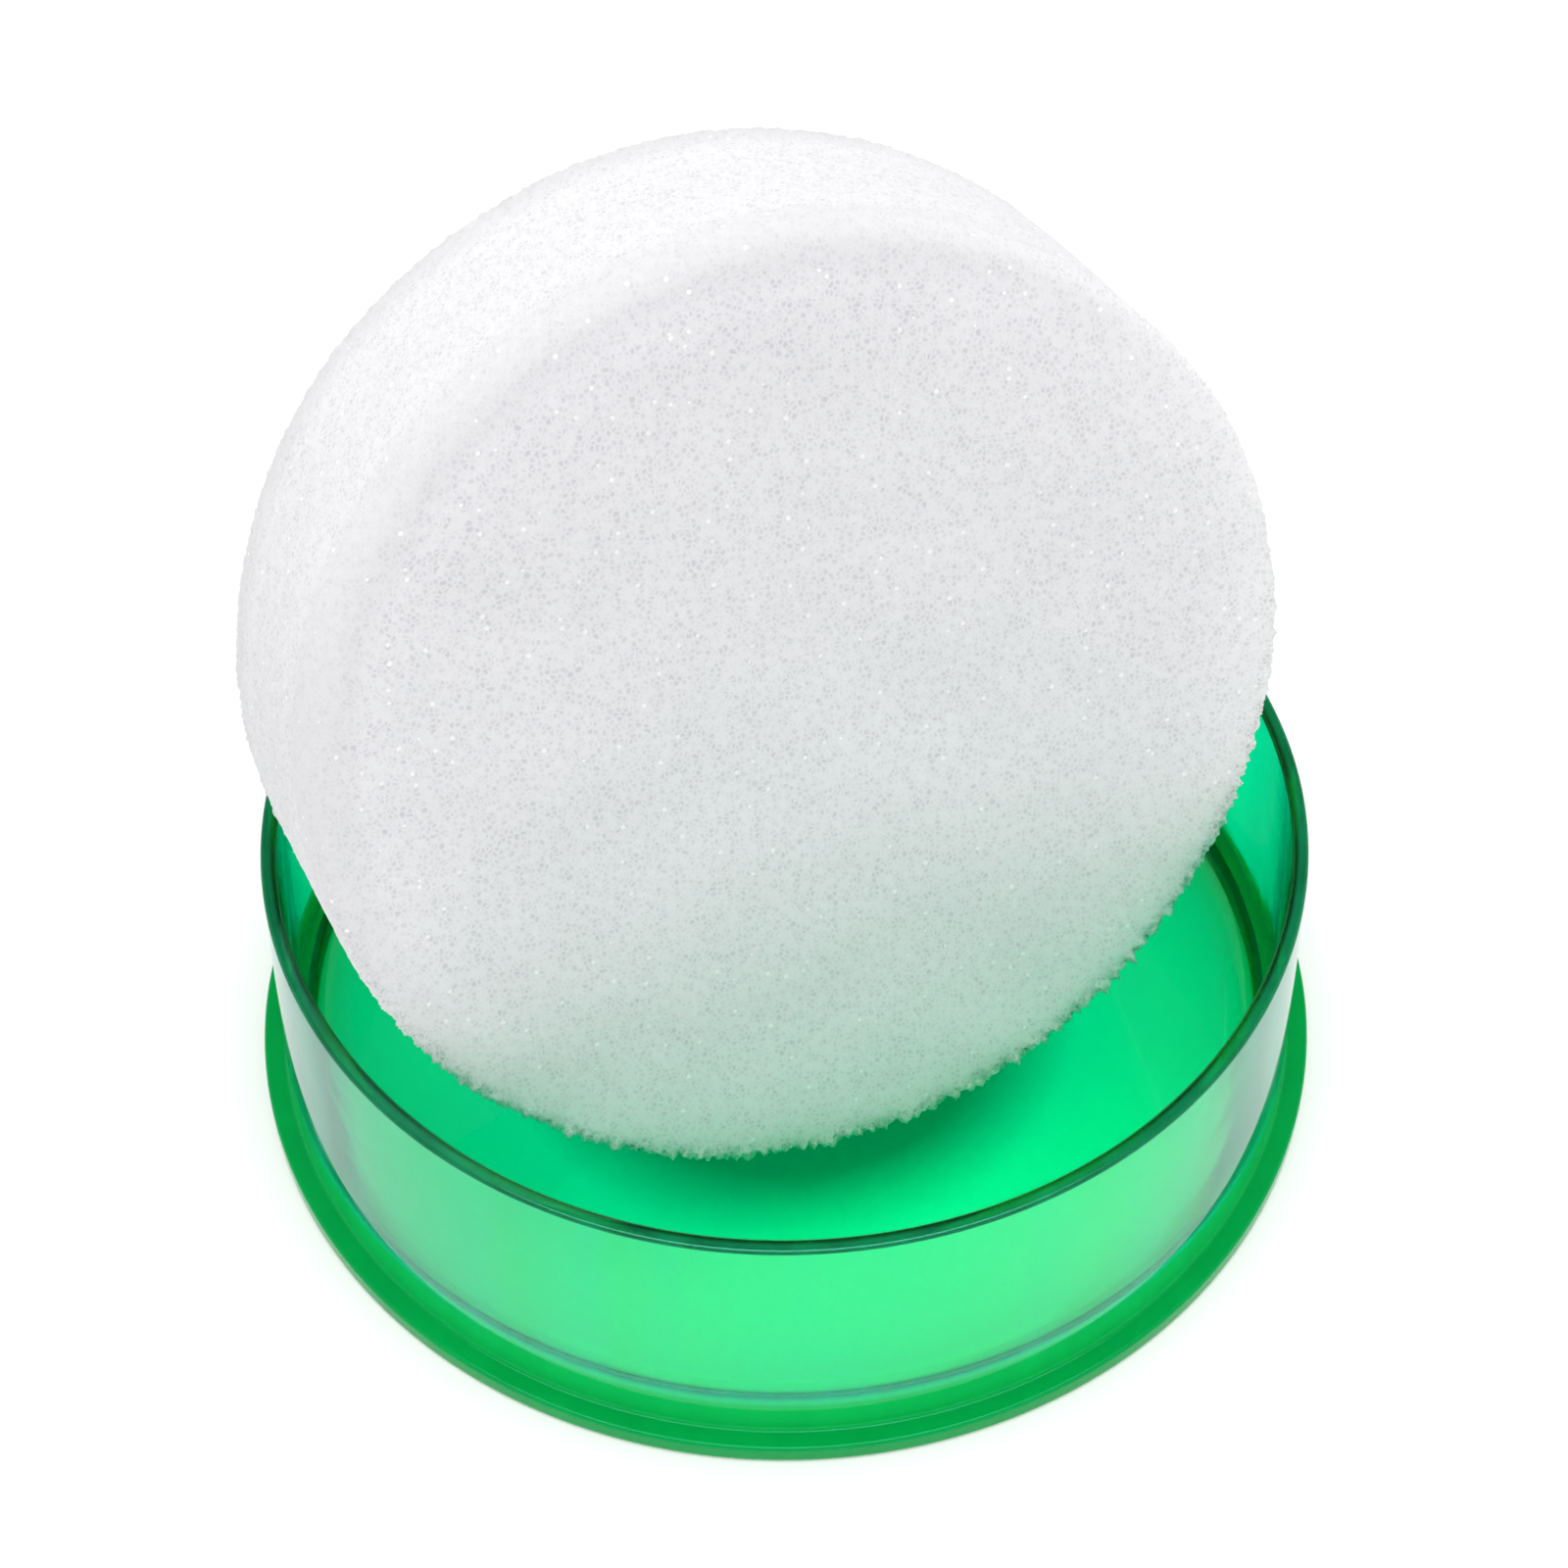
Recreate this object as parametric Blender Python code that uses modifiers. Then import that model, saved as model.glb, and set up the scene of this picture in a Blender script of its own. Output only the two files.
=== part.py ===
"""A fingertip moistener for counting paper: a clear green moulded dish with a foam disc standing in it.

Metres, +Z up. The origin is the centre of the foot's underside, and the user sits at -Y.
The dish is one turned moulding, and the foam disc is loose and lifts straight out of it.
"""

import math

import bpy
from mathutils import Matrix, Vector

MM = 0.001

# The dish: a straight-sided cup on a wider foot flange.
DISH_HEIGHT = 24.6 * MM
FOOT_DIAMETER = 85.0 * MM
FOOT_HEIGHT = 1.6 * MM
FOOT_ROUND = 0.3 * MM
FLANGE_WIDTH = 1.8 * MM  # how far the foot stands out from the wall
WALL_DRAFT = 0.3 * MM  # how much further out the wall's outside stands at the foot than at the rim
WALL_THICKNESS = 1.25 * MM
WALL_ROOT_ROUND = 0.4 * MM
RIM_ROUND = 0.3 * MM
FLOOR_THICKNESS = 2.0 * MM
FLOOR_FILLET = 4.0 * MM

# The foam disc, cut to drop into the dish, and stood on the edge of its back face.
DISC_PLAY = 1.85 * MM  # all round, between the disc laid flat and the wall
DISC_THICKNESS = 21.2 * MM
DISC_EDGE_ROUND = 0.8 * MM
DISC_LEAN = math.radians(20.2)  # back from upright
DISC_TURN = math.radians(20.7)  # its face turned towards +X
STAND_POINT = Vector((-0.7, -0.6)) * MM  # where its back edge meets the floor
FLOOR_CLEARANCE = 0.3 * MM

TURN_STEPS = 72
FILLET_STEPS = 6
ROUND_STEPS = 2
EDGE_ROUND_SEGMENTS = 2
MERGE_DISTANCE = 0.01 * MM

RIM_RADIUS = FOOT_DIAMETER / 2 - FLANGE_WIDTH - WALL_DRAFT
INSIDE_RADIUS = RIM_RADIUS - WALL_THICKNESS
DISC_RADIUS = INSIDE_RADIUS - DISC_PLAY


def clear_scene():
    for old in list(bpy.data.objects):
        bpy.data.objects.remove(old)


def new_collection(name):
    made = bpy.data.collections.new(name)
    bpy.context.scene.collection.children.link(made)
    return made


def principled(name, colour, roughness, transmission=0.0, ior=1.5):
    material = bpy.data.materials.new(name)
    material.use_nodes = True
    shader = material.node_tree.nodes["Principled BSDF"]
    shader.inputs["Base Color"].default_value = (*colour, 1.0)
    shader.inputs["Roughness"].default_value = roughness
    shader.inputs["Metallic"].default_value = 0.0
    shader.inputs["Transmission Weight"].default_value = transmission
    shader.inputs["IOR"].default_value = ior
    return material


def arc(centre, radius, start, end, steps):
    """Points (r, z) of a round corner, from start to end in degrees, both included."""
    angles = (math.radians(start + (end - start) * i / steps) for i in range(steps + 1))
    return [(centre[0] + radius * math.cos(a), centre[1] + radius * math.sin(a)) for a in angles]


def dish_profile():
    """The dish's section as (r, z), from the middle of the floor up the inside and down the outside."""
    fillet_centre = (INSIDE_RADIUS - FLOOR_FILLET, FLOOR_THICKNESS + FLOOR_FILLET)
    rim_round = min(RIM_ROUND, WALL_THICKNESS / 2.5)
    rim_centre = DISH_HEIGHT - rim_round
    root = min(WALL_ROOT_ROUND, FLANGE_WIDTH / 2.5)
    root_centre = (RIM_RADIUS + WALL_DRAFT + root, FOOT_HEIGHT + root)
    foot_round = min(FOOT_ROUND, FOOT_HEIGHT / 2.5)
    foot_edge = FOOT_DIAMETER / 2 - foot_round
    return [
        (0.0, FLOOR_THICKNESS),
        (INSIDE_RADIUS / 2, FLOOR_THICKNESS),
        *arc(fillet_centre, FLOOR_FILLET, -90, 0, FILLET_STEPS),
        *arc((INSIDE_RADIUS + rim_round, rim_centre), rim_round, 180, 90, ROUND_STEPS),
        *arc((RIM_RADIUS - rim_round, rim_centre), rim_round, 90, 0, ROUND_STEPS),
        *arc(root_centre, root, 180, 270, ROUND_STEPS),
        *arc((foot_edge, FOOT_HEIGHT - foot_round), foot_round, 90, 0, ROUND_STEPS),
        *arc((foot_edge, foot_round), foot_round, 0, -90, ROUND_STEPS),
        (INSIDE_RADIUS / 2, 0.0),
        (0.0, 0.0),
    ]


def add_dish(collection, parent):
    """The moulding, turned from its section about +Z."""
    mesh = bpy.data.meshes.new("dish")
    points = [(r, 0.0, z) for r, z in dish_profile()]
    edges = [(i, i + 1) for i in range(len(points) - 1)]
    mesh.from_pydata(points, edges, [])
    mesh.materials.append(principled("clear green polystyrene", (0.0, 0.62, 0.2), 0.08, 0.85, 1.59))
    dish = bpy.data.objects.new("dish", mesh)
    collection.objects.link(dish)
    dish.parent = parent
    screw = dish.modifiers.new("turn", "SCREW")
    screw.axis = "Z"
    screw.steps = TURN_STEPS
    screw.render_steps = TURN_STEPS
    screw.use_merge_vertices = True
    screw.merge_threshold = MERGE_DISTANCE
    screw.use_smooth_shade = True
    return dish


def disc_turned():
    """The disc's rotation: its axis leans back from level, then turns about +Z."""
    return Matrix.Rotation(DISC_TURN, 3, "Z") @ Matrix.Rotation(math.pi / 2 - DISC_LEAN, 3, "X")


def disc_centre():
    """The disc's middle, with the low edge of its back face over STAND_POINT and just clear of the floor."""
    edge = disc_turned() @ Vector((0.0, -DISC_RADIUS, -DISC_THICKNESS / 2))
    face_flat = DISC_RADIUS - DISC_EDGE_ROUND
    side_flat = DISC_THICKNESS / 2 - DISC_EDGE_ROUND
    drop = face_flat * math.cos(DISC_LEAN) + side_flat * math.sin(DISC_LEAN) + DISC_EDGE_ROUND
    height = FLOOR_THICKNESS + FLOOR_CLEARANCE + drop
    return Vector((STAND_POINT.x - edge.x, STAND_POINT.y - edge.y, height))


def add_sponge(collection, parent):
    """The foam disc, a cylinder with softened edges, hung on an empty that marks its lift axis."""
    lift = bpy.data.objects.new("sponge_lift", None)
    collection.objects.link(lift)
    lift.parent = parent
    lift.location = disc_centre()
    bpy.ops.mesh.primitive_cylinder_add(
        vertices=TURN_STEPS, radius=DISC_RADIUS, depth=DISC_THICKNESS, end_fill_type="NGON"
    )
    disc = bpy.context.object
    disc.name = "sponge_disc"
    disc.data.name = "sponge_disc"
    for owner in list(disc.users_collection):
        owner.objects.unlink(disc)
    collection.objects.link(disc)
    disc.parent = lift
    disc.rotation_euler = disc_turned().to_euler()
    disc.data.materials.append(principled("white open-cell foam", (0.8, 0.8, 0.82), 1.0))
    softened = disc.modifiers.new("softened edges", "BEVEL")
    softened.width = DISC_EDGE_ROUND
    softened.segments = EDGE_ROUND_SEGMENTS
    softened.limit_method = "ANGLE"
    disc.data.shade_smooth()
    disc.data.set_sharp_from_angle(angle=math.radians(50))
    return disc


def build():
    clear_scene()
    collection = new_collection("fingertip_moistener")
    cup = bpy.data.objects.new("cup", None)
    collection.objects.link(cup)
    add_dish(collection, cup)
    add_sponge(collection, cup)


build()
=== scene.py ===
"""A fingertip moistener: a clear green moulded dish with a white foam disc standing in it."""

import math

import bpy
import numpy as np
from mathutils import Matrix, Vector


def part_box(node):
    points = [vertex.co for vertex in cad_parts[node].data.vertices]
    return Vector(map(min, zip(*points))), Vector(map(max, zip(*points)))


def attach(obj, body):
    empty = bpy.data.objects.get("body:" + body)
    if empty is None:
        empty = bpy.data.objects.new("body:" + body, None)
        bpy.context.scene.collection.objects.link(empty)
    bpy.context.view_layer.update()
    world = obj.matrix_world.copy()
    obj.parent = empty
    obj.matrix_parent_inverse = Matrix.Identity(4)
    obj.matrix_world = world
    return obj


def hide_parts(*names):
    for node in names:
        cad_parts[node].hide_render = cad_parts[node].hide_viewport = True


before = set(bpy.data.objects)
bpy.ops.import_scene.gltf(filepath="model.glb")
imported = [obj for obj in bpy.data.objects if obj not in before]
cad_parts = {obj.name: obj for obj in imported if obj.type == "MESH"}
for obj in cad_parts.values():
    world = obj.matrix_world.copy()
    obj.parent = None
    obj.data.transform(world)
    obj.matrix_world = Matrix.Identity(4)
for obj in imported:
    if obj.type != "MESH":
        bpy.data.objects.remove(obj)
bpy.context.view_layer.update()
MM = 0.001


# --------------------------------------------------------------------------------------------------
# The dish. One injection moulding in clear green polystyrene: a straight wall on a wider foot flange,
# with a large fillet inside where the floor meets the wall, and a square rim whose corners are just
# broken. It is shaped like a turned cup: a disc is inset, drawn up, inset again and pushed down.
# --------------------------------------------------------------------------------------------------
def select_nothing(kind):
    """Clears the mesh selection, and sets it to take "VERT", "EDGE" or "FACE"."""
    bpy.ops.object.mode_set(mode="EDIT")
    bpy.ops.mesh.select_mode(type=kind)
    bpy.ops.mesh.select_all(action="DESELECT")
    bpy.ops.object.mode_set(mode="OBJECT")


def select_ring(thing, radius, height):
    """Selects the edges that run round +Z at this radius and height."""
    select_nothing("EDGE")
    close = 0.02 * MM
    points = thing.data.vertices
    for edge in thing.data.edges:
        ends = [points[i].co for i in edge.vertices]
        edge.select = all(
            abs(math.hypot(p.x, p.y) - radius) < close and abs(p.z - height) < close for p in ends
        )
    bpy.ops.object.mode_set(mode="EDIT")


dish_low, dish_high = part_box("dish")
FOOT_RADIUS = (dish_high.x - dish_low.x) / 2
DISH_HEIGHT = dish_high.z
FOOT_HEIGHT = 1.6 * MM
FLANGE_WIDTH = 1.8 * MM
WALL_DRAFT = 0.3 * MM
WALL_THICKNESS = 1.25 * MM
FLOOR_THICKNESS = 2.0 * MM
FILLET = (4.0 * MM, 16)  # how far each corner's bevel reaches, and in how many steps
RIM_INSIDE = (0.22 * MM, 4)
RIM_OUTSIDE = (0.3 * MM, 5)
WALL_ROOT = (0.35 * MM, 5)
FOOT_TOP = (0.3 * MM, 5)
FOOT_BOTTOM = (0.25 * MM, 4)
TURN_STEPS = 288
WALL_FOOT = FOOT_RADIUS - FLANGE_WIDTH
RIM_RADIUS = WALL_FOOT - WALL_DRAFT
INSIDE_RADIUS = RIM_RADIUS - WALL_THICKNESS

bpy.ops.object.select_all(action="DESELECT")
bpy.ops.mesh.primitive_cylinder_add(
    vertices=TURN_STEPS, radius=FOOT_RADIUS, depth=FOOT_HEIGHT, location=(0, 0, FOOT_HEIGHT / 2)
)
moulded_dish = bpy.context.object
moulded_dish.name = "moulded_dish"
bpy.ops.object.transform_apply(location=True, rotation=False, scale=False)
select_nothing("FACE")
for face in moulded_dish.data.polygons:
    face.select = face.normal.z > 0.9
bpy.ops.object.mode_set(mode="EDIT")
bpy.ops.mesh.inset(thickness=FLANGE_WIDTH)
wall_height = DISH_HEIGHT - FOOT_HEIGHT
bpy.ops.mesh.extrude_region_move(TRANSFORM_OT_translate={"value": (0, 0, wall_height)})
drawn_in = RIM_RADIUS / WALL_FOOT
bpy.ops.transform.resize(value=(drawn_in, drawn_in, 1), center_override=(0, 0, 0))
bpy.ops.mesh.inset(thickness=WALL_THICKNESS)
well_depth = DISH_HEIGHT - FLOOR_THICKNESS
bpy.ops.mesh.extrude_region_move(TRANSFORM_OT_translate={"value": (0, 0, -well_depth)})
bpy.ops.object.mode_set(mode="OBJECT")

# Each corner ring: its radius, its height and its bevel.
CORNERS = (
    (INSIDE_RADIUS, FLOOR_THICKNESS, FILLET),
    (INSIDE_RADIUS, DISH_HEIGHT, RIM_INSIDE),
    (RIM_RADIUS, DISH_HEIGHT, RIM_OUTSIDE),
    (WALL_FOOT, FOOT_HEIGHT, WALL_ROOT),
    (FOOT_RADIUS, FOOT_HEIGHT, FOOT_TOP),
    (FOOT_RADIUS, 0.0, FOOT_BOTTOM),
)
for ring_radius, ring_height, (reach, steps) in CORNERS:
    select_ring(moulded_dish, ring_radius, ring_height)
    bpy.ops.mesh.bevel(
        offset=reach, offset_type="OFFSET", segments=steps, profile=0.5, affect="EDGES"
    )
    bpy.ops.object.mode_set(mode="OBJECT")
bpy.ops.object.shade_smooth_by_angle(angle=math.radians(40))
true_flats = moulded_dish.modifiers.new("true flats", "WEIGHTED_NORMAL")
true_flats.mode = "FACE_AREA"
true_flats.weight = 100
true_flats.keep_sharp = True
bpy.ops.object.modifier_apply(modifier=true_flats.name)


def hex_colour(code):
    """A linear colour from an sRGB hex code such as 3FD18A."""
    parts = [int(code[i : i + 2], 16) / 255 for i in (0, 2, 4)]
    return [p / 12.92 if p <= 0.04045 else ((p + 0.055) / 1.055) ** 2.4 for p in parts] + [1.0]


def add_node(material, kind, settings=None, inputs=None, links=None):
    """Adds a node with its own settings, its input values, and links from (node, output) pairs."""
    node = material.node_tree.nodes.new(kind)
    for name, value in (settings or {}).items():
        setattr(node, name, value)
    for name, value in (inputs or {}).items():
        node.inputs[name].default_value = value
    for name, (source, output) in (links or {}).items():
        material.node_tree.links.new(source.outputs[output], node.inputs[name])
    return node


def new_material(name):
    made = bpy.data.materials.new(name)
    made.use_nodes = True
    made.node_tree.nodes.clear()
    return made


# Moulded polystyrene, dyed green in the mass: it passes green freely, some blue and no red, so the
# thin floor looks emerald, and the rim, seen down the wall's height, bottle green. Handling has left
# the wall a little milky in streaks down its height; low on the outside it is milkier and greener,
# fading out upwards above the foot. The underside is grained, so less light comes up through it.
STREAK = 5 * MM
STREAK_STRETCH = 0.12
WAVE = 6 * MM
WAVE_DEPTH = 0.05 * MM
LEAST_MILKY = 0.11  # shares of the light that a milky surface scatters instead of passing
MOST_MILKY = 0.21
LOW_BAND_MILKY = 0.6
GRAINED = 0.35
LOW_BAND_FADE = (4.5 * MM, 6.5 * MM)  # the height over which the low band fades out
SMOOTHEST = 0.02
ROUGHEST = 0.12
clear_green = new_material("moulded_green_polystyrene")
place = add_node(clear_green, "ShaderNodeTexCoord")
height_up = add_node(clear_green, "ShaderNodeSeparateXYZ", links={"Vector": (place, "Object")})
flat_place = add_node(
    clear_green,
    "ShaderNodeVectorMath",
    settings={"operation": "MULTIPLY"},
    inputs={1: (1.0, 1.0, 0.0)},
    links={0: (place, "Object")},
)
radius_out = add_node(
    clear_green,
    "ShaderNodeVectorMath",
    settings={"operation": "LENGTH"},
    links={0: (flat_place, "Vector")},
)
on_the_wall = add_node(
    clear_green,
    "ShaderNodeMapRange",
    inputs={"From Min": INSIDE_RADIUS + 0.3 * MM, "From Max": INSIDE_RADIUS + 0.6 * MM},
    links={"Value": (radius_out, "Value")},
)
on_the_rim = add_node(
    clear_green,
    "ShaderNodeMapRange",
    inputs={"From Min": DISH_HEIGHT - 0.35 * MM, "From Max": DISH_HEIGHT - 0.15 * MM},
    links={"Value": (height_up, "Z")},
)
underneath = add_node(
    clear_green,
    "ShaderNodeMapRange",
    inputs={"From Min": 0.05 * MM, "From Max": 0.3 * MM, "To Min": GRAINED, "To Max": 0.0},
    links={"Value": (height_up, "Z")},
)
drawn_out = add_node(
    clear_green,
    "ShaderNodeMapping",
    inputs={"Scale": (1.0, 1.0, STREAK_STRETCH)},
    links={"Vector": (place, "Object")},
)
streaks = add_node(
    clear_green,
    "ShaderNodeTexNoise",
    inputs={"Scale": 1 / STREAK, "Detail": 5.0, "Roughness": 0.6},
    links={"Vector": (drawn_out, "Vector")},
)
milkiness = add_node(
    clear_green,
    "ShaderNodeMapRange",
    inputs={"From Min": 0.35, "From Max": 0.7, "To Min": LEAST_MILKY, "To Max": MOST_MILKY},
    links={"Value": (streaks, "Fac")},
)
on_the_foot = add_node(
    clear_green,
    "ShaderNodeMapRange",
    inputs={"From Min": WALL_FOOT - 0.4 * MM, "From Max": WALL_FOOT + 0.1 * MM},
    links={"Value": (radius_out, "Value")},
)
at_foot_height = add_node(
    clear_green,
    "ShaderNodeMapRange",
    inputs={
        "From Min": FOOT_HEIGHT + 0.05 * MM,
        "From Max": FOOT_HEIGHT + 0.3 * MM,
        "To Min": 1.0,
        "To Max": 0.0,
    },
    links={"Value": (height_up, "Z")},
)
shaded_foot = add_node(
    clear_green,
    "ShaderNodeMath",
    settings={"operation": "MULTIPLY"},
    links={0: (on_the_foot, "Result"), 1: (at_foot_height, "Result")},
)
low_down = add_node(
    clear_green,
    "ShaderNodeMapRange",
    inputs={"From Min": LOW_BAND_FADE[0], "From Max": LOW_BAND_FADE[1], "To Min": 1.0, "To Max": 0.0},
    links={"Value": (height_up, "Z")},
)
low_outside = add_node(
    clear_green,
    "ShaderNodeMath",
    settings={"operation": "MULTIPLY"},
    links={0: (low_down, "Result"), 1: (on_the_wall, "Result")},
)
low_band_milkiness = add_node(
    clear_green,
    "ShaderNodeMapRange",
    inputs={"To Max": LOW_BAND_MILKY},
    links={"Value": (low_outside, "Value")},
)
milky_wall = add_node(
    clear_green,
    "ShaderNodeMath",
    settings={"operation": "ADD"},
    links={0: (low_band_milkiness, "Result"), 1: (milkiness, "Result")},
)
milky_outside = add_node(
    clear_green,
    "ShaderNodeMath",
    settings={"operation": "MULTIPLY"},
    links={0: (on_the_wall, "Result"), 1: (milky_wall, "Value")},
)
misted = add_node(
    clear_green,
    "ShaderNodeMath",
    settings={"operation": "ADD"},
    links={0: (milky_outside, "Value"), 1: (underneath, "Result")},
)
see_through = add_node(
    clear_green,
    "ShaderNodeMath",
    settings={"operation": "SUBTRACT"},
    inputs={0: 1.0},
    links={1: (misted, "Value")},
)
haze = add_node(
    clear_green,
    "ShaderNodeMapRange",
    inputs={"From Min": 0.4, "From Max": 0.75, "To Min": SMOOTHEST, "To Max": ROUGHEST},
    links={"Value": (streaks, "Fac")},
)
low_tint = add_node(
    clear_green,
    "ShaderNodeMix",
    settings={"data_type": "RGBA"},
    inputs={6: hex_colour("30FFEC"), 7: hex_colour("14DC6C")},
    links={"Factor": (low_outside, "Value")},
)
# Painted shade: the foot flange is tinted a deeper green, standing for the shadow under the flange.
foot_painted_shade = add_node(
    clear_green,
    "ShaderNodeMix",
    settings={"data_type": "RGBA"},
    inputs={7: hex_colour("04B455")},
    links={"Factor": (shaded_foot, "Value"), 6: (low_tint, 2)},
)
tint = add_node(
    clear_green,
    "ShaderNodeMix",
    settings={"data_type": "RGBA"},
    inputs={7: hex_colour("24E8A0")},
    links={"Factor": (on_the_rim, "Result"), 6: (foot_painted_shade, 2)},
)
waves = add_node(
    clear_green,
    "ShaderNodeTexNoise",
    inputs={"Scale": 1 / WAVE, "Detail": 2.0},
    links={"Vector": (place, "Object")},
)
flow = add_node(
    clear_green,
    "ShaderNodeBump",
    inputs={"Strength": 0.25, "Distance": WAVE_DEPTH},
    links={"Height": (waves, "Fac")},
)
plastic = add_node(
    clear_green,
    "ShaderNodeBsdfPrincipled",
    inputs={"IOR": 1.59, "Specular IOR Level": 0.12, "Specular Tint": hex_colour("90FFF0")},
    links={
        "Base Color": (tint, 2),
        "Transmission Weight": (see_through, "Value"),
        "Roughness": (haze, "Result"),
        "Normal": (flow, "Normal"),
    },
)
DYE_PER_METRE = 2600.0
dye = add_node(
    clear_green,
    "ShaderNodeVolumeAbsorption",
    inputs={"Color": (0.0, 0.985, 0.863, 1.0), "Density": DYE_PER_METRE},
)
add_node(
    clear_green,
    "ShaderNodeOutputMaterial",
    links={"Surface": (plastic, "BSDF"), "Volume": (dye, "Volume")},
)
moulded_dish.data.materials.append(clear_green)
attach(moulded_dish, "dish")
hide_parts("dish")


# --------------------------------------------------------------------------------------------------
# The foam disc. White open-cell polyurethane foam, die-cut from sheet: flat faces and a plain side,
# open pores of about half a millimetre all over, and corners that the cut left ragged. It is loose,
# and stands in the dish on the edge of its back face.
# --------------------------------------------------------------------------------------------------
disc_low, disc_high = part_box("sponge_disc")
DISC_CENTRE = (disc_low + disc_high) / 2
DISC_PLAY = 1.85 * MM
DISC_RADIUS = INSIDE_RADIUS - DISC_PLAY
DISC_THICKNESS = 21.2 * MM
DISC_LEAN = math.radians(20.2)
DISC_TURN = math.radians(20.7)
EDGE_ROUND = 0.8 * MM
PRESSED_ROUND = 4.5 * MM
PULLED_AT = Vector((-0.6, 0.8, 0.0))  # the way from the disc's middle to where fingers pull it out
UNEVEN_SPACING = 14 * MM
UNEVEN_DEPTH = 0.6 * MM
GRAIN = 0.2 * MM  # the mesh's own cell, under half a torn one
TORN_CELL = 0.5 * MM
TORN_DEPTH = 1.5 * MM
TORN_BAND = 1.6 * MM  # how far from a corner the cut is torn
TORN_LEVELS = 10
FACE_SHARE = 0.1  # how much of the torn depth the flat faces get
WORN_AT_MIDDLE = 0.45  # how much of it the corners get halfway up, growing downwards
WORN_LEAST = 0.25
CORNER_SHADE = 0.8
DISC_STEPS = 180

bpy.ops.object.select_all(action="DESELECT")
bpy.ops.mesh.primitive_cylinder_add(
    vertices=DISC_STEPS, radius=DISC_RADIUS, depth=DISC_THICKNESS, location=(0, 0, 0)
)
foam_disc = bpy.context.object
foam_disc.name = "foam_disc"
# Both corners are broken, and the front one is pressed rounder towards the top left, where the disc
# is pulled out. Only the front corner's edges are selected, and a vertical edge gets no bevel.
select_ring(foam_disc, DISC_RADIUS, DISC_THICKNESS / 2)
bpy.ops.object.mode_set(mode="OBJECT")
bevel_shares = foam_disc.data.attributes.new("bevel_weight_edge", "FLOAT", "EDGE")
for edge, bevel_share in zip(foam_disc.data.edges, bevel_shares.data):
    start, end = [foam_disc.data.vertices[i].co for i in edge.vertices]
    towards_pull = ((start + end) / 2).dot(PULLED_AT) / DISC_RADIUS
    pressed = min(1.0, max(0.0, towards_pull + 0.15)) if edge.select else 0.0
    reach = EDGE_ROUND + (PRESSED_ROUND - EDGE_ROUND) * pressed
    vertical = abs(start.z - end.z) >= MM
    bevel_share.value = 0.0 if vertical else reach / PRESSED_ROUND
softened = foam_disc.modifiers.new("softened edges", "BEVEL")
softened.width = PRESSED_ROUND
softened.segments = 8
softened.limit_method = "WEIGHT"
bpy.ops.object.modifier_apply(modifier=softened.name)
fine = foam_disc.modifiers.new("even mesh", "REMESH")
fine.mode = "VOXEL"
fine.voxel_size = GRAIN
bpy.ops.object.modifier_apply(modifier=fine.name)


def places(thing):
    """Where each of its vertices lies."""
    found = np.empty(3 * len(thing.data.vertices), np.float32)
    thing.data.vertices.foreach_get("co", found)
    return found.reshape(-1, 3)


def push(thing, texture, reach, level, group=""):
    """Moves the surface in and out by a texture, all over or as far as a vertex group says."""
    moved = thing.modifiers.new(texture.name, "DISPLACE")
    moved.texture = texture
    moved.texture_coords = "LOCAL"
    moved.strength = reach
    moved.mid_level = level
    moved.vertex_group = group
    bpy.ops.object.modifier_apply(modifier=moved.name)


uneven = bpy.data.textures.new("uneven cut", "CLOUDS")
uneven.noise_scale = UNEVEN_SPACING
push(foam_disc, uneven, UNEVEN_DEPTH, 0.5)
# The cut faces are nearly level. The corners between them and the side are ragged, most of all at the
# bottom. The front corner towards the pull, where the overhead lamp lights it most, is painted a
# little
# grey: painted shade.
at = places(foam_disc)
to_side = DISC_RADIUS - np.hypot(at[:, 0], at[:, 1])
to_face = DISC_THICKNESS / 2 - np.abs(at[:, 2])
to_corner = np.hypot(to_side, to_face)
pull_side_shade = np.clip(at @ np.array(PULLED_AT) / DISC_RADIUS + 0.35, 0.0, 1.0)
# Painted shade: the front corner towards the pull is darkened where the lamp lights it most.
painted_corner_shade = pull_side_shade * np.clip(CORNER_SHADE * (1.0 - to_corner / PRESSED_ROUND), 0.0, 1.0)
torn = foam_disc.vertex_groups.new(name="torn")
worn_and_shaded = np.clip(WORN_AT_MIDDLE - at[:, 1] / DISC_RADIUS, WORN_LEAST, 1.0)
# The torn share also paints shade into the pores in the foam's colour, most along the torn corners at
# the bottom.
torn_and_pore_shade = np.clip(worn_and_shaded * (1.0 - to_corner / TORN_BAND), FACE_SHARE, 1.0)
for level in range(1, TORN_LEVELS + 1):
    at_this_level = np.flatnonzero(np.round(torn_and_pore_shade * TORN_LEVELS) == level)
    torn.add(at_this_level.tolist(), level / TORN_LEVELS, "REPLACE")
cells = bpy.data.textures.new("open cells", "VORONOI")
cells.noise_scale = TORN_CELL
cells.noise_intensity = 1.0
push(foam_disc, cells, TORN_DEPTH, 0.6, "torn")
# Both are painted shade in the foam's colour: darker pores along the torn corners, and a greyer
# corner towards the pull.
for name, amount in (("open pores", torn_and_pore_shade), ("painted_corner_shade", painted_corner_shade)):
    painted = foam_disc.data.attributes.new(name, "FLOAT", "POINT")
    painted.data.foreach_set("value", amount.astype(np.float32))
turned = Matrix.Rotation(DISC_TURN, 4, "Z") @ Matrix.Rotation(math.pi / 2 - DISC_LEAN, 4, "X")
foam_disc.matrix_world = Matrix.Translation(DISC_CENTRE) @ turned
bpy.ops.object.transform_apply(location=True, rotation=True, scale=True)
bpy.ops.object.shade_smooth()
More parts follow.
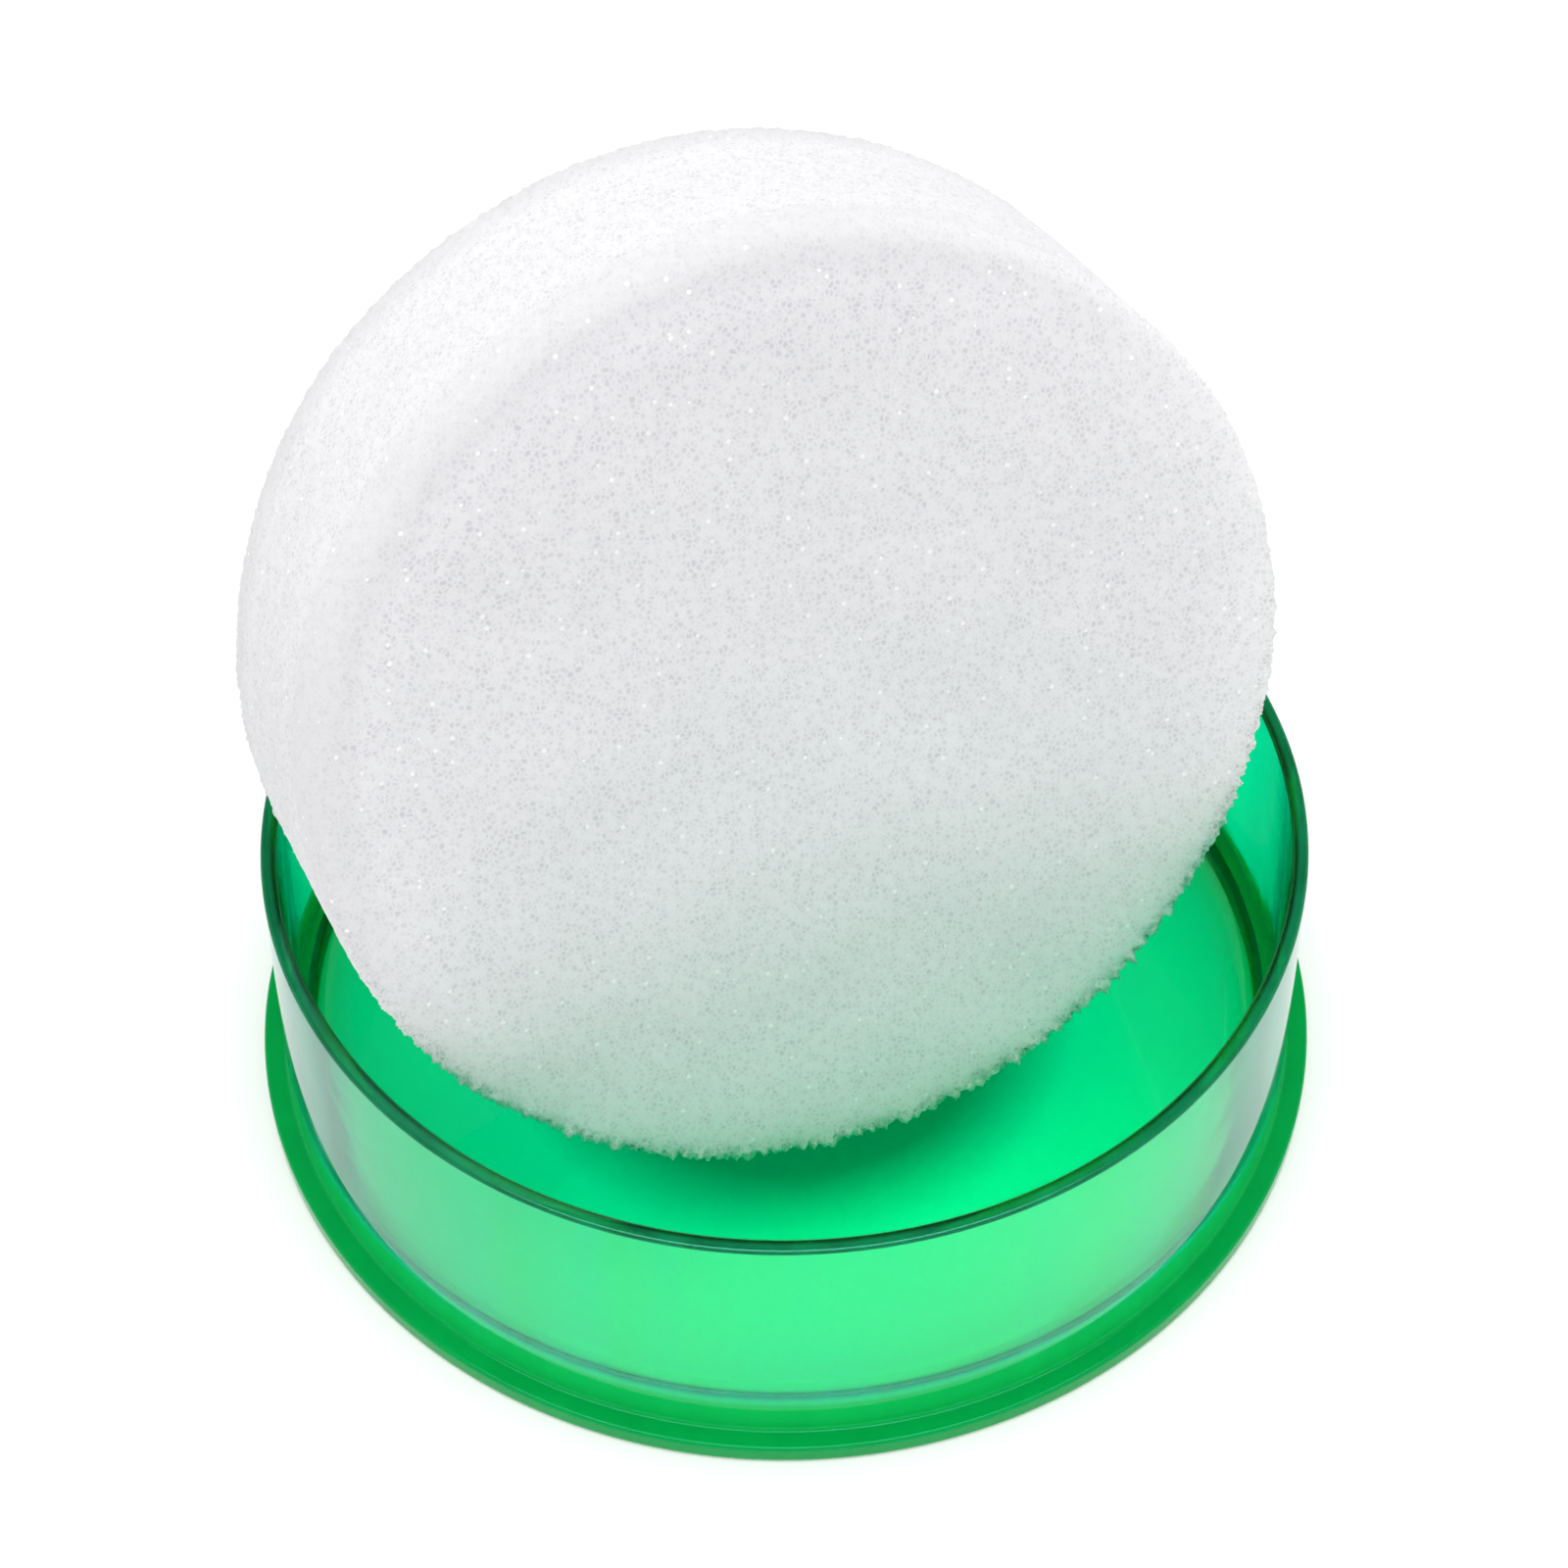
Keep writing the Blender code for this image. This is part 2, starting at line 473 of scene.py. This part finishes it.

# Polyurethane foam, cut and unskinned: matt, pure white and translucent, so light spreads a few
# millimetres inside. Pores are painted a little darker than the struts between them, painted shade in
# the pits, and darker still along the torn corners, most at the bottom, painted shade where the torn
# cells open onto the dark behind them. Here and there a small spot is painted pure white: a painted
# glint.
PORE = 0.45 * MM
PORE_PATCH = 0.8 * MM
PORE_DEPTH = 0.1 * MM
GLINT_SPACING = 1.3 * MM
GLINT_SIZE = 0.14  # as a share of their spacing
GLINT_SHARE = 0.42
LIGHT_SPREAD = 7.0 * MM
white_foam = new_material("open_cell_polyurethane_foam")
place = add_node(white_foam, "ShaderNodeTexCoord")
cell_walls = add_node(
    white_foam,
    "ShaderNodeTexVoronoi",
    settings={"feature": "DISTANCE_TO_EDGE"},
    inputs={"Scale": 1 / PORE},
    links={"Vector": (place, "Object")},
)
into_pore = add_node(
    white_foam,
    "ShaderNodeMapRange",
    inputs={"From Min": 0.02, "From Max": 0.3},
    links={"Value": (cell_walls, "Distance")},
)
uneven_cells = add_node(
    white_foam,
    "ShaderNodeTexNoise",
    inputs={"Scale": 1 / PORE_PATCH, "Detail": 2.0},
    links={"Vector": (place, "Object")},
)
open_share = add_node(
    white_foam,
    "ShaderNodeMapRange",
    inputs={"From Min": 0.35, "From Max": 0.65, "To Min": 0.15, "To Max": 1.0},
    links={"Value": (uneven_cells, "Fac")},
)
pore_shade_and_depth = add_node(
    white_foam,
    "ShaderNodeMath",
    settings={"operation": "MULTIPLY"},
    links={0: (into_pore, "Result"), 1: (open_share, "Result")},
)
pore_shade_share = add_node(white_foam, "ShaderNodeAttribute", settings={"attribute_name": "open pores"})
# Painted shade: pores along the torn corners are darkened towards grey.
pore_shade_colour = add_node(
    white_foam,
    "ShaderNodeMix",
    settings={"data_type": "RGBA"},
    inputs={6: hex_colour("DFDEE2"), 7: hex_colour("7E8484")},
    links={"Factor": (pore_shade_share, "Fac")},
)
# Painted shade: the pores are painted darker than the struts between them.
struts_and_pore_shade = add_node(
    white_foam,
    "ShaderNodeMix",
    settings={"data_type": "RGBA"},
    inputs={6: hex_colour("EDECEF")},
    links={"Factor": (pore_shade_and_depth, "Value"), 7: (pore_shade_colour, 2)},
)
# Painted shade on the front corner towards the pull.
corner_shade_share = add_node(white_foam, "ShaderNodeAttribute", settings={"attribute_name": "painted_corner_shade"})
corner_shaded = add_node(
    white_foam,
    "ShaderNodeMix",
    settings={"data_type": "RGBA"},
    inputs={7: hex_colour("D2D1D4")},
    links={"Factor": (corner_shade_share, "Fac"), 6: (struts_and_pore_shade, 2)},
)
# Painted highlights: a few small spots are picked out to be painted pure white as glints.
glint_cells = add_node(
    white_foam,
    "ShaderNodeTexVoronoi",
    inputs={"Scale": 1 / GLINT_SPACING},
    links={"Vector": (place, "Object")},
)
small = add_node(
    white_foam,
    "ShaderNodeMath",
    settings={"operation": "LESS_THAN"},
    inputs={1: GLINT_SIZE},
    links={0: (glint_cells, "Distance")},
)
drawn_lots = add_node(white_foam, "ShaderNodeSeparateColor", links={"Color": (glint_cells, "Color")})
chosen_for_glint = add_node(
    white_foam,
    "ShaderNodeMath",
    settings={"operation": "LESS_THAN"},
    inputs={1: GLINT_SHARE},
    links={0: (drawn_lots, "Red")},
)
painted_glints = add_node(
    white_foam,
    "ShaderNodeMath",
    settings={"operation": "MULTIPLY"},
    links={0: (small, "Value"), 1: (chosen_for_glint, "Value")},
)
# The painted glints are mixed in here as pure white.
foam_colour = add_node(
    white_foam,
    "ShaderNodeMix",
    settings={"data_type": "RGBA"},
    inputs={7: hex_colour("FFFFFF")},
    links={"Factor": (painted_glints, "Value"), 6: (corner_shaded, 2)},
)
pitted = add_node(
    white_foam,
    "ShaderNodeBump",
    settings={"invert": True},
    inputs={"Strength": 0.5, "Distance": PORE_DEPTH},
    links={"Height": (pore_shade_and_depth, "Value")},
)
foam = add_node(
    white_foam,
    "ShaderNodeBsdfPrincipled",
    inputs={
        "Roughness": 0.9,
        "Subsurface Weight": 1.0,
        "Subsurface Radius": (1.0, 1.0, 1.0),
        "Subsurface Scale": LIGHT_SPREAD,
        "Specular IOR Level": 0.3,
    },
    links={"Base Color": (foam_colour, 2), "Normal": (pitted, "Normal")},
)
add_node(white_foam, "ShaderNodeOutputMaterial", links={"Surface": (foam, "BSDF")})
foam_disc.data.materials.append(white_foam)
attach(foam_disc, "sponge")
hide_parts("sponge_disc")


# --------------------------------------------------------------------------------------------------
# The studio. A pale sheet of acrylic to stand on, lit from below round the dish, in a white tent with
# one soft lamp straight overhead and a darker flag behind.
# --------------------------------------------------------------------------------------------------
bpy.ops.object.select_all(action="DESELECT")
FLOOR_SIZE = 12.0
UNDER_THE_FOOT = 0.1 * MM
bpy.ops.mesh.primitive_plane_add(size=FLOOR_SIZE, location=(0, 0, -UNDER_THE_FOOT))
studio_floor = bpy.context.object
studio_floor.name = "studio_floor"
# How brightly the sheet is lit from below at each distance from the dish's axis, in millimetres. The
# dim middle is painted shadow of the foam disc, seen through the dish's floor; the dip at 40.5 mm is
# painted shade under the wall's foot and flange, and the brighter ring round the foot lifts the
# dish's own shadow off the sheet.
GLOW_REACH = 60 * MM
# Painted shadow in the middle, and painted shade round 40.5 mm.
GLOW = (
    (17.0, 0.19),
    (24.0, 0.73),
    (30.0, 0.62),
    (38.5, 0.43),
    (40.5, 0.18),
    (43.5, 0.26),
    (47.0, 0.30),
    (58.0, 0.16),
)
pale = new_material("lit_white_acrylic")
place = add_node(pale, "ShaderNodeTexCoord")
from_dish = add_node(
    pale, "ShaderNodeVectorMath", settings={"operation": "LENGTH"}, links={0: (place, "Object")}
)
how_far = add_node(
    pale,
    "ShaderNodeMath",
    settings={"operation": "MULTIPLY"},
    inputs={1: 1 / GLOW_REACH},
    links={0: (from_dish, "Value")},
)
glow = add_node(pale, "ShaderNodeValToRGB", links={"Fac": (how_far, "Value")})
ring = glow.color_ramp.elements
while len(ring) < len(GLOW):
    ring.new(1.0)
for stop, (reach, strength) in zip(ring, GLOW):
    stop.position = reach * MM / GLOW_REACH
    stop.color = (strength, strength, strength, 1.0)
sheet = add_node(
    pale,
    "ShaderNodeBsdfPrincipled",
    inputs={
        "Base Color": hex_colour("E4E4E4"),
        "Roughness": 0.6,
        "Emission Color": hex_colour("FFFFFF"),
    },
    links={"Emission Strength": (glow, "Color")},
)
add_node(pale, "ShaderNodeOutputMaterial", links={"Surface": (sheet, "BSDF")})
studio_floor.data.materials.append(pale)

tent = bpy.data.worlds.new("tent")
bpy.context.scene.world = tent
tent.use_nodes = True
tent.node_tree.nodes.clear()
TENT = 0.62  # the strength of each, from 0
FLAG = 0.15
LAMP = 5.7
FLAG_DIRECTION = (0.0, 0.62, 0.78)
FLAG_EDGE = (0.65, 0.85)  # the cosine from that direction, over which the tent turns into the flag
LAMP_EDGE = (0.90, 0.95)  # the same from straight up
direction = add_node(tent, "ShaderNodeTexCoord")
upward = add_node(tent, "ShaderNodeSeparateXYZ", links={"Vector": (direction, "Generated")})
near_flag = add_node(
    tent,
    "ShaderNodeVectorMath",
    settings={"operation": "DOT_PRODUCT"},
    inputs={1: FLAG_DIRECTION},
    links={0: (direction, "Generated")},
)
cloth_and_flag = add_node(
    tent,
    "ShaderNodeMapRange",
    inputs={"From Min": FLAG_EDGE[0], "From Max": FLAG_EDGE[1], "To Min": TENT, "To Max": FLAG},
    links={"Value": (near_flag, "Value")},
)
overhead = add_node(
    tent,
    "ShaderNodeMapRange",
    inputs={"From Min": LAMP_EDGE[0], "From Max": LAMP_EDGE[1], "To Min": 0.0, "To Max": LAMP},
    links={"Value": (upward, "Z")},
)
together = add_node(
    tent,
    "ShaderNodeMath",
    settings={"operation": "MAXIMUM"},
    links={0: (cloth_and_flag, "Result"), 1: (overhead, "Result")},
)
cloth = add_node(
    tent,
    "ShaderNodeBackground",
    inputs={"Color": hex_colour("FFFFFF")},
    links={"Strength": (together, "Value")},
)
add_node(tent, "ShaderNodeOutputWorld", links={"Surface": (cloth, "Background")})

bpy.context.scene.view_settings.view_transform = "Standard"

DISTANCE = 318.75 * MM
STANDS_AT = math.radians(52.554)  # the camera's elevation, seen from the middle of the dish's foot
LOOKS_DOWN = math.radians(49.212)
ROLL = math.radians(-0.41)
FOCAL_LENGTH = 88.98
lens = bpy.data.cameras.new("camera")
lens.sensor_width = 36.0
lens.lens = FOCAL_LENGTH
lens.clip_start = 0.01
camera = bpy.data.objects.new("camera", lens)
bpy.context.scene.collection.objects.link(camera)
camera.matrix_world = (
    Matrix.Translation((0, -DISTANCE * math.cos(STANDS_AT), DISTANCE * math.sin(STANDS_AT)))
    @ Matrix.Rotation(math.pi / 2 - LOOKS_DOWN, 4, "X")
    @ Matrix.Rotation(ROLL, 4, "Z")
)
bpy.context.scene.camera = camera
